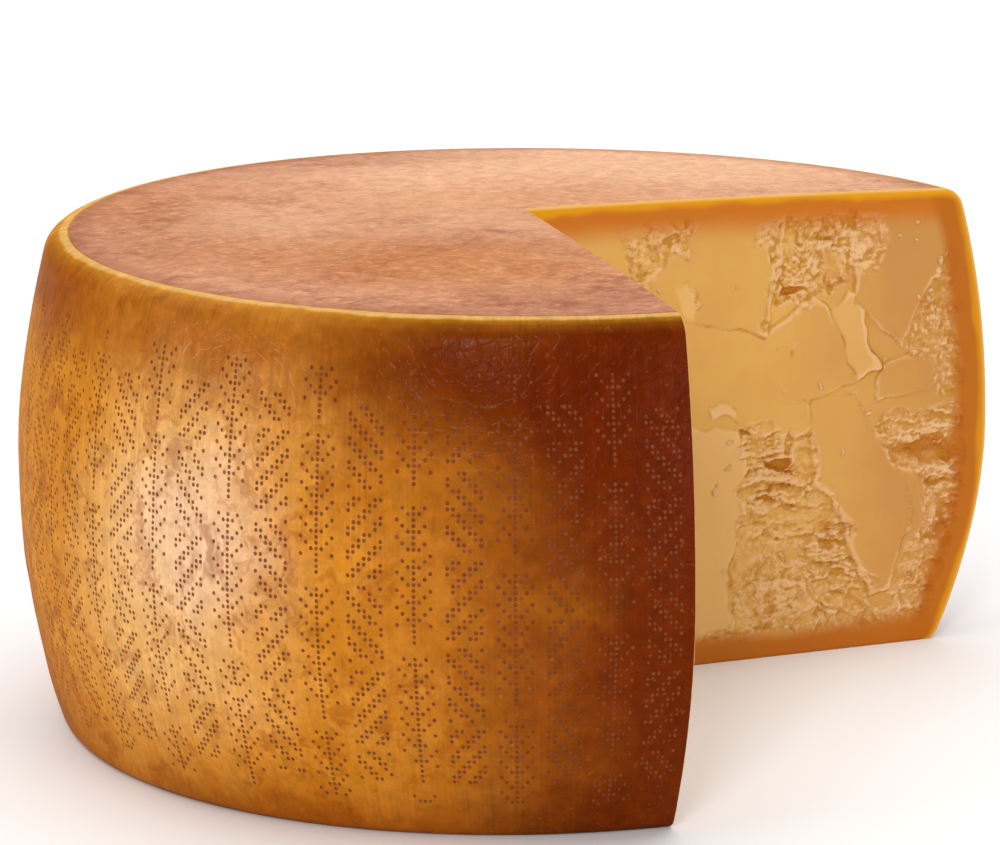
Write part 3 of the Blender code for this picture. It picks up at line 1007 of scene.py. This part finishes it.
def rind_finish():
    """Oiled cheese rind, brushed and turned on spruce shelves: satin, mottled gold to red-brown."""
    colours = bpy.context.scene.cheese_colours
    material, tree, shader = new_finish("oiled_cheese_rind")
    place = add_node(tree, "TexCoord").outputs["Object"]
    height = add_node(tree, "SeparateXYZ", {"Vector": place}).outputs["Z"]
    travel, around, pit = [
        add_node(tree, "Attribute", attribute_name=name).outputs["Fac"]
        for name in ("travel", "around", "pit")
    ]
    # Oil soaked in unevenly, so the edges of all patches wander by a centimetre or so
    wander = add_node(
        tree, "TexNoise", {"Vector": place, "Scale": METRE / 29.41, "Detail": 3.0, "Roughness": 0.7}
    )
    shift = add_node(
        tree, "VectorMath", {0: wander.outputs["Color"], 1: (0.5, 0.5, 0.5)}, operation="SUBTRACT"
    ).outputs[0]
    farthest = (35.0 * MILLIMETRE,) * 3
    warped = add_node(
        tree, "VectorMath", {0: shift, 1: farthest, 2: place}, operation="MULTIPLY_ADD"
    ).outputs[0]
    # Each pattern: where it is read, the size of its patches in millimetres, finer layers, their strength
    patterns = {}
    for name, where, size, layers, roughness in (
        ("broad", warped, 71.43, 3.0, 0.6),
        ("clouds", warped, 19.23, 3.0, 0.65),
        ("mottle", warped, 13.33, 3.0, 0.72),
        ("worn", warped, 21.74, 3.0, 0.7),
        ("fine", place, 6.667, 3.0, 0.68),
        ("fleck", place, 1.923, 2.0, 0.5),
    ):
        settings = {"Vector": where, "Scale": METRE / size, "Detail": layers, "Roughness": roughness}
        patterns[name] = add_node(tree, "TexNoise", settings).outputs["Fac"]
    # Oil soaked in: amber in patches as wide as a hand, and in clouds of a centimetre or two
    colour = lay_colour(tree, colours.rind_gold, colours.rind_amber, patterns["broad"], 0.40, 0.66, 0.7)[0]
    colour = lay_colour(tree, colour, colours.rind_amber, patterns["clouds"], 0.42, 0.66, 0.75)[0]
    browned = 0.0
    for azimuth, rise, half_width, half_height, name, strength in RIND_STAINS:
        angle = math.radians(azimuth)
        middle = (STAIN_RADIUS * math.cos(angle), STAIN_RADIUS * math.sin(angle), rise)
        reach = stain_reach(tree, warped, middle, (half_width, half_width, half_height))
        over = getattr(colours, name)
        colour, share = lay_colour(tree, colour, over, reach, *RIND_STAIN_EDGE, strength)
        if name == "rind_brown":
            browned = add_node(tree, "Math", {0: browned, 1: share}, operation="MAXIMUM").outputs[0]
    # Rust comes through in small clouds wherever the rind isn't brown already
    mottled = add_node(
        tree, "MapRange",
        {"Value": patterns["mottle"], "From Min": 0.44, "From Max": 0.68, "To Min": -0.16, "To Max": 0.42},
        interpolation_type="SMOOTHSTEP",
    ).outputs[0]
    unbrowned = add_node(tree, "Math", {0: 1.0, 1: browned}, operation="SUBTRACT").outputs[0]
    mottled = add_node(
        tree, "Math", {0: mottled, 1: unbrowned, 2: 0.06}, operation="MULTIPLY_ADD"
    ).outputs[0]
    colour = add_node(
        tree, "Mix", {"Factor": mottled, "A": colour, "B": colours.rind_rust}, data_type="RGBA"
    ).outputs["Result"]
    # The top dried paler, with worn stains
    top = lay_colour(tree, colours.top_tan, colours.top_brown, patterns["worn"], 0.46, 0.72, 0.60)[0]
    for along, deep, half_width, half_depth, name, strength in TOP_STAINS:
        middle = (along, deep, STAIN_TOP_LEVEL)
        reach = stain_reach(tree, warped, middle, (half_width, half_depth, STAIN_TOP_HALF))
        top = lay_colour(tree, top, getattr(colours, name), reach, *TOP_STAIN_EDGE, strength)[0]
    # A haze of pale and brown specks on the top, three or four millimetres long: the brown ones brushing
    # marks, the pale ones a painted glint of sheen
    brushing = (METRE / 4.167, METRE / 2.941, METRE / 3.333)
    brushed = add_node(tree, "VectorMath", {0: place, 1: brushing}, operation="MULTIPLY").outputs[0]
    haze = add_node(
        tree, "TexNoise", {"Vector": brushed, "Scale": 1.0, "Detail": 4.0, "Roughness": 0.7}
    ).outputs["Fac"]
    for measure, low, high, over, strength in (
        (haze, 0.48, 0.70, colours.top_pale, 0.34),
        (haze, 0.48, 0.32, colours.top_brown, 0.20),
        (travel, 1.08, 1.01, colours.top_brown, 0.38),
    ):
        top = lay_colour(tree, top, over, measure, low, high, strength)[0]
    rim_noise = add_node(
        tree, "Math", {0: wander.outputs["Fac"], 1: 0.008, 2: -0.004}, operation="MULTIPLY_ADD"
    ).outputs[0]
    ragged_travel = add_node(tree, "Math", {0: travel, 1: rim_noise}, operation="ADD").outputs[0]
    colour, on_top = lay_colour(tree, colour, top, ragged_travel, 0.998, 1.012, 1.0)
    # The shoulder is rubbed to gold, with a painted highlight as a pale line where it meets the top
    shoulder = add_node(
        tree, "MapRange", {"Value": ragged_travel, "From Min": 0.90, "From Max": 1.02}
    ).outputs[0]
    for over, shares in (
        (colours.edge_gold, ((0.62, 0.0), (0.74, 0.10), (0.80, 0.36), (0.84, 0.50), (0.87, 0.0))),
        (colours.edge_pale, ((0.795, 0.0), (0.82, 0.65), (0.84, 0.65), (0.865, 0.0))),
    ):
        stops = [(stop, (share, share, share, 1.0)) for stop, share in shares]
        rubbed = add_node(tree, "ValToRGB", {"Fac": shoulder}, stops).outputs["Color"]
        colour = add_node(
            tree, "Mix", {"Factor": rubbed, "A": colour, "B": over}, data_type="RGBA"
        ).outputs["Result"]
    # Fine mottling, and the weave of the press cloth as upright lines 1.2 mm apart and 4 cm long
    darkness = add_node(
        tree, "MapRange",
        {"Value": patterns["fine"], "From Min": 0.30, "From Max": 0.70, "To Min": 0.82, "To Max": 1.12},
    ).outputs[0]
    lines_place = add_node(tree, "CombineXYZ", {"X": around, "Y": 0.0, "Z": height}).outputs[0]
    weaving = (METRE / 1.2195, 1.0, METRE / 38.46)
    woven = add_node(tree, "VectorMath", {0: lines_place, 1: weaving}, operation="MULTIPLY").outputs[0]
    lines = add_node(tree, "TexNoise", {"Vector": woven, "Scale": 1.0, "Detail": 2.0}).outputs["Fac"]
    weave = add_node(
        tree, "MapRange",
        {"Value": patterns["broad"], "From Min": 0.56, "From Max": 0.42, "To Min": 0.1, "To Max": 0.5},
    ).outputs[0]
    off_top = add_node(tree, "Math", {0: 1.0, 1: on_top}, operation="SUBTRACT").outputs[0]
    ribs = add_node(tree, "Math", {0: lines, 1: 0.5}, operation="SUBTRACT").outputs[0]
    for part in (weave, off_top):
        ribs = add_node(tree, "Math", {0: ribs, 1: part}, operation="MULTIPLY").outputs[0]
    shade = add_node(tree, "Math", {0: ribs, 1: darkness, 2: darkness}, operation="MULTIPLY_ADD").outputs[0]
    colour = add_node(
        tree, "Mix", {"Factor": 1.0, "A": colour, "B": shade}, data_type="RGBA", blend_type="MULTIPLY"
    ).outputs["Result"]
    # Rubbed pale flecks
    fleck = patterns["fleck"]
    colour = lay_colour(tree, colour, colours.rind_tan, fleck, 0.66, 0.78, 0.12, slope="LINEAR")[0]
    # Oil and dirt gathered in the stamped dots
    colour = lay_colour(tree, colour, colours.dot, pit, 0.02, 0.45, 0.88)[0]
    tree.links.new(colour, shader.inputs["Base Color"])
    satin = add_node(
        tree, "MapRange",
        {"Value": patterns["fine"], "From Min": 0.3, "From Max": 0.7, "To Min": 0.32, "To Max": 0.48},
    ).outputs[0]
    tree.links.new(satin, shader.inputs["Roughness"])
    # The rind itself is dull. Its film of oil gives the soft white sheen, and wore off where it browned.
    shader.inputs["Specular IOR Level"].default_value = 0.0
    film = add_node(tree, "MapRange", {"Value": browned, "To Min": 0.12, "To Max": 0.04}).outputs[0]
    tree.links.new(film, shader.inputs["Coat Weight"])
    shader.inputs["Coat Roughness"].default_value = 0.20
    # Dried oil has shrunk into a net of fine cracks about 5 mm apart
    net = add_node(
        tree, "TexVoronoi", {"Vector": place, "Scale": METRE / 5.263}, feature="DISTANCE_TO_EDGE"
    ).outputs["Distance"]
    crack = add_node(
        tree, "MapRange", {"Value": net, "From Max": 0.10, "To Min": -0.35, "To Max": 0.0}
    ).outputs[0]
    on_side = add_node(
        tree, "MapRange", {"Value": travel, "From Min": 1.0, "From Max": 0.99, "To Max": 0.5}
    ).outputs[0]
    relief = add_node(
        tree, "Math", {0: patterns["fine"], 1: 0.9, 2: crack}, operation="MULTIPLY_ADD"
    ).outputs[0]
    relief = add_node(tree, "Math", {0: lines, 1: on_side, 2: relief}, operation="MULTIPLY_ADD").outputs[0]
    bump = add_node(tree, "Bump", {"Height": relief, "Strength": 0.45, "Distance": 0.6 * MILLIMETRE})
    tree.links.new(bump.outputs["Normal"], shader.inputs["Normal"])
    tree.links.new(bump.outputs["Normal"], shader.inputs["Coat Normal"])
    return material


def paste_finish():
    """Aged cheese paste, split along its grain: waxy and slightly see-through, with pale crumbs."""
    colours = bpy.context.scene.cheese_colours
    material, tree, shader = new_finish("split_cheese_paste")
    place = add_node(tree, "TexCoord").outputs["Object"]
    crumbled, hollow, depth, tone, under_top, under_side, over_base = [
        add_node(tree, "Attribute", attribute_name=name).outputs["Fac"]
        for name in ("crumbled", "hollow", "depth", "tone", "under_top", "under_side", "over_base")
    ]
    # Each pattern: the size of its patches in millimetres, its finer layers and their strength
    patterns = {}
    for name, size, layers, roughness in (
        ("cloud", 38.46, 3.0, 0.55),
        ("pocket", 10.53, 3.0, 0.6),
        ("clump", 6.25, 3.0, 0.6),
        ("grit", 2.381, 2.0, 0.65),
        ("frost", 1.111, 1.0, 0.6),
    ):
        settings = {"Vector": place, "Scale": METRE / size, "Detail": layers, "Roughness": roughness}
        patterns[name] = add_node(tree, "TexNoise", settings).outputs["Fac"]
    # Paste dries from the rind inward, so it is warmer and darker near the side
    dried = add_node(
        tree, "MapRange", {"Value": under_side, "From Min": 95.0, "From Max": 12.0, "To Max": 0.85},
        interpolation_type="SMOOTHSTEP",
    ).outputs[0]
    clouded = add_node(
        tree, "MapRange", {"Value": patterns["cloud"], "From Min": 0.35, "From Max": 0.7, "To Max": 0.35}
    ).outputs[0]
    warmth = add_node(tree, "Math", {0: tone, 1: 0.6, 2: dried}, operation="MULTIPLY_ADD").outputs[0]
    warmth = add_node(tree, "Math", {0: warmth, 1: clouded}, operation="ADD", use_clamp=True).outputs[0]
    colour = add_node(
        tree, "Mix", {"Factor": warmth, "A": colours.paste, "B": colours.warm_paste}, data_type="RGBA"
    ).outputs["Result"]
    # Torn paste: pale grains, deep yellow between them. The lips of the split scales are pale too. The pale
    # on raised edges is painted highlight, the deep yellow in hollows painted shade.
    for measure, low, high, over, strength, within in (
        (tone, -0.05, -1.0, colours.crumb, 0.80, None),
        (patterns["clump"], 0.50, 0.64, colours.crumb, 0.55, crumbled),
        (patterns["clump"], 0.49, 0.37, colours.hollow, 0.45, crumbled),
        (hollow, 0.0, -0.50, colours.crumb, 0.60, crumbled),
        (patterns["grit"], 0.49, 0.64, colours.crumb, 0.48, crumbled),
        (hollow, 0.06, 0.50, colours.hollow, 0.60, crumbled),
        (patterns["grit"], 0.46, 0.33, colours.hollow, 0.42, crumbled),
        (patterns["frost"], 0.60, 0.72, colours.crumb, 0.50, crumbled),
        (patterns["pocket"], 0.55, 0.68, colours.edge_rust, 0.58, crumbled),
        # Painted shade: the deepest pits darken to rust
        (depth, 1.5, 3.0, colours.edge_rust, 0.85, crumbled),
        # Over the whole wall: painted highlight on raised edges, painted shade in hollows
        (hollow, -0.14, -0.50, colours.crumb, 0.50, None),
        (hollow, 0.10, 0.60, colours.hollow, 0.45, None),
    ):
        colour = lay_colour(tree, colour, over, measure, low, high, strength, within)[0]
    # The dried band just under the rind, with an inner border that wanders by a few millimetres
    wavy = add_node(
        tree, "Math", {0: patterns["cloud"], 1: 9.0, 2: -4.5}, operation="MULTIPLY_ADD"
    ).outputs[0]
    for skin, start, full, over, strength in (
        (under_top, 20.0, 7.0, colours.edge_orange, 0.95),
        (under_side, 17.0, 10.0, colours.edge_rust, 0.95),
        (over_base, 15.0, 6.0, colours.edge_rust, 0.95),
        (under_top, 5.5, 2.0, colours.edge_gold, 1.0),
        (under_side, 4.5, 1.0, colours.edge_gold, 0.70),
    ):
        skin = add_node(tree, "Math", {0: skin, 1: wavy}, operation="ADD").outputs[0]
        colour = lay_colour(tree, colour, over, skin, start, full, strength)[0]
    # A painted highlight along the rind's cut edges, where they catch the light, about 1.5 mm wide
    for skin, width, strength in ((under_top, 1.6, 0.8), (under_side, 1.8, 0.6)):
        colour = lay_colour(
            tree, colour, colours.edge_pale, skin, width, 0.3 * width, strength, slope="LINEAR"
        )[0]
    tree.links.new(colour, shader.inputs["Base Color"])
    # Waxy and nearly dull, with a little light going a few millimetres in
    shader.inputs["Roughness"].default_value = 0.6
    shader.inputs["Specular IOR Level"].default_value = 0.12
    shader.inputs["Subsurface Weight"].default_value = 0.12
    shader.inputs["Subsurface Radius"].default_value = (1.0, 0.45, 0.15)
    shader.inputs["Subsurface Scale"].default_value = 3.0 * MILLIMETRE
    # Upright grain of the curd on split faces, 1.1 mm by 25 mm, and grit where it tore
    drawing = (METRE / 1.111, METRE / 1.111, METRE / 25.0)
    drawn = add_node(tree, "VectorMath", {0: place, 1: drawing}, operation="MULTIPLY").outputs[0]
    grain = add_node(tree, "TexNoise", {"Vector": drawn, "Scale": 1.0, "Detail": 2.0}).outputs["Fac"]
    rough = add_node(
        tree, "Math", {0: patterns["grit"], 1: patterns["frost"]}, operation="ADD"
    ).outputs[0]
    torn = add_node(tree, "Math", {0: rough, 1: crumbled}, operation="MULTIPLY").outputs[0]
    relief = add_node(tree, "Math", {0: grain, 1: 0.10, 2: torn}, operation="MULTIPLY_ADD").outputs[0]
    bump = add_node(tree, "Bump", {"Height": relief, "Strength": 0.7, "Distance": 0.9 * MILLIMETRE})
    tree.links.new(bump.outputs["Normal"], shader.inputs["Normal"])
    return material


# --- Operators --------------------------------------------------------------------------------------


def slice_columns():
    """First column and number of columns of each slice."""
    starts = [STRIP_CELLS * sum(SLICE_STRIPS[:place]) for place in range(len(SLICE_STRIPS))]
    return [(start, STRIP_CELLS * strips) for start, strips in zip(starts, SLICE_STRIPS)]


def middle_heading_of(first, columns):
    """Heading of a slice's middle column."""
    return float(column_heading(np.array([first + 0.5 * columns]))[0])


class CHEESE_OT_rind_slices(bpy.types.Operator):
    """Build the whole slices between the two that carry the notch's walls"""

    bl_idname = "cheese.rind_slices"
    bl_label = "Whole slices"

    def execute(self, context):
        rind, paste = rind_finish(), paste_finish()
        for number, (first, columns) in enumerate(slice_columns()[1:-1], 1):
            piece = make_rind_slice(f"wheel_slice_{number}", first, columns, WHOLE_RIND_MAP)
            middle = middle_heading_of(first, columns)
            close_side(piece, middle, False)
            close_rest(piece)
            mark_flat_sides(piece)
            finish_slice(piece, rind, paste)
        return {"FINISHED"}


class CHEESE_OT_end_slices(bpy.types.Operator):
    """Build the two slices that carry the broken walls of the notch"""

    bl_idname = "cheese.end_slices"
    bl_label = "Broken walls"

    def execute(self, context):
        rind, paste = bpy.data.materials["oiled_cheese_rind"], bpy.data.materials["split_cheese_paste"]
        columns = slice_columns()
        side_normal = (math.sin(SIDE_WALL_HEADING), -math.cos(SIDE_WALL_HEADING), 0.0)
        front_normal = (-math.sin(FRONT_WALL_HEADING), math.cos(FRONT_WALL_HEADING), 0.0)
        plans = (
            ("side_wall_slice", columns[0], SIDE_WALL_HEADING, side_normal, False,
             SIDE_WALL_ZONES, SIDE_WALL_SCALES, SIDE_WALL_HOLES, 3),
            ("front_wall_slice", columns[-1], FRONT_WALL_HEADING, front_normal, True,
             FRONT_WALL_ZONES, FRONT_WALL_SCALES, FRONT_WALL_HOLES, 403),
        )
        for name, (first, count), heading, normal, after, zones, scales, holes, seed in plans:
            rind_slice = make_rind_slice(name, first, count, END_RIND_MAP)
            around = CELL_WIDTH * (first + count * after)
            wall = make_wall(name + "_wall", heading, normal, around, zones, scales, holes, seed)
            piece = make_end_slice(name, rind_slice, wall, middle_heading_of(first, count), after)
            mark_flat_sides(piece)
            finish_slice(piece, rind, paste)
        return {"FINISHED"}


FLOOR_WIDTH = 30.0


class CHEESE_OT_stage(bpy.types.Operator):
    """Set the pale floor, the soft studio lights and the camera"""

    bl_idname = "cheese.stage"
    bl_label = "Stage"

    def execute(self, context):
        scene = context.scene
        start_alone()
        bpy.ops.mesh.primitive_plane_add(size=FLOOR_WIDTH, location=(0.0, 0.0, FLOOR_LEVEL))
        floor = context.object
        floor.name = "studio_floor"
        material, tree, shader = new_finish("matt_white_floor")
        shader.inputs["Base Color"].default_value = linear("F6F6F6")
        shader.inputs["Roughness"].default_value = 0.8
        floor.data.materials.append(material)
        add_camera(scene)
        add_lights(scene)
        return {"FINISHED"}


# The camera's place from the wheel's axis in metres, its turns in radians and its lens in millimetres
CAMERA_DISTANCE = 1.8304
CAMERA_HEIGHT = 0.5308
CAMERA_AZIMUTH = math.radians(-105.7)
CAMERA_YAW = -0.0089
CAMERA_PITCH = 0.2222
CAMERA_ROLL = -0.0067
CAMERA_LENS = 164.6
SENSOR_WIDTH = 36.0


def add_camera(scene):
    """A long lens from the front left, a little above the wheel."""
    camera = bpy.data.objects.new("studio_camera", bpy.data.cameras.new("studio_camera"))
    scene.collection.objects.link(camera)
    camera.data.sensor_fit = "HORIZONTAL"
    camera.data.sensor_width = SENSOR_WIDTH
    camera.data.lens = CAMERA_LENS
    camera.data.clip_end = 50.0
    place = Vector((math.cos(CAMERA_AZIMUTH), math.sin(CAMERA_AZIMUTH), 0.0)) * CAMERA_DISTANCE
    place += Vector(AXIS) + Vector((0.0, 0.0, CAMERA_HEIGHT))
    heading = CAMERA_AZIMUTH + math.pi - CAMERA_YAW
    forward = Vector((math.cos(heading), math.sin(heading), 0.0)) * math.cos(CAMERA_PITCH)
    forward.z = -math.sin(CAMERA_PITCH)
    right = forward.cross(Vector((0.0, 0.0, 1.0))).normalized()
    above = right.cross(forward)
    rolled_right = right * math.cos(CAMERA_ROLL) + above * math.sin(CAMERA_ROLL)
    rolled_above = above * math.cos(CAMERA_ROLL) - right * math.sin(CAMERA_ROLL)
    turn = Matrix((rolled_right, rolled_above, -forward)).transposed()
    camera.matrix_world = Matrix.Translation(place) @ turn.to_4x4()
    scene.camera = camera


# Each light: place, what it points at, width and height, all in metres, and its power in watts
LIGHTS = {
    "key_softbox": ((-0.90, -1.95, 1.15), (0.0, 0.0, 0.10), 0.5, 0.5, 19.5),
    "front_softbox": ((0.85, -1.85, 0.32), (0.1, 0.0, 0.10), 0.9, 0.5, 9.8),
    "top_softbox": ((0.2, 1.6, 2.5), (0.2, 1.6, 0.0), 5.0, 5.0, 120.0),
    "left_strip": ((-1.7, -0.25, 0.12), (0.0, 0.0, 0.14), 0.20, 0.30, 6.0),
}
WORLD_STRENGTH = 0.34


def add_lights(scene):
    """Large soft lights, a low light for the sheen on the left, and an even white surround."""
    for name, (place, target, width, height, power) in LIGHTS.items():
        light = bpy.data.lights.new(name, "AREA")
        light.shape = "RECTANGLE"
        light.size = width
        light.size_y = height
        light.energy = power
        lamp = bpy.data.objects.new(name, light)
        scene.collection.objects.link(lamp)
        lamp.location = place
        lamp.rotation_euler = (Vector(target) - Vector(place)).to_track_quat("-Z", "Y").to_euler()
    world = bpy.data.worlds.new("white_surround")
    scene.world = world
    world.use_nodes = True
    background = world.node_tree.nodes["Background"]
    background.inputs["Color"].default_value = (1.0, 1.0, 1.0, 1.0)
    background.inputs["Strength"].default_value = WORLD_STRENGTH
    scene.view_settings.view_transform = "Standard"


class CHEESE_PT_wheel(bpy.types.Panel):
    """The pieces of the cut cheese wheel, in the order they are built"""

    bl_label = "Cut cheese wheel"
    bl_space_type = "VIEW_3D"
    bl_region_type = "UI"
    bl_category = "Cheese"

    def draw(self, context):
        for settings in (context.scene.cheese_sizes, context.scene.cheese_colours):
            for name in settings.__annotations__:
                self.layout.prop(settings, name)
        for operator in OPERATORS:
            self.layout.operator(operator.bl_idname)


OPERATORS = (CHEESE_OT_rind_slices, CHEESE_OT_end_slices, CHEESE_OT_stage)
CLASSES = (CheeseWheelSizes, CheeseWheelColours, *OPERATORS, CHEESE_PT_wheel)


def register():
    for each in CLASSES:
        bpy.utils.register_class(each)
    bpy.types.Scene.cheese_sizes = bpy.props.PointerProperty(type=CheeseWheelSizes)
    bpy.types.Scene.cheese_colours = bpy.props.PointerProperty(type=CheeseWheelColours)


def unregister():
    del bpy.types.Scene.cheese_colours
    del bpy.types.Scene.cheese_sizes
    for each in reversed(CLASSES):
        bpy.utils.unregister_class(each)


def main():
    """Build every piece in order."""
    register()
    bpy.ops.cheese.rind_slices()
    bpy.ops.cheese.end_slices()
    bpy.ops.cheese.stage()


if __name__ == "__main__":
    main()
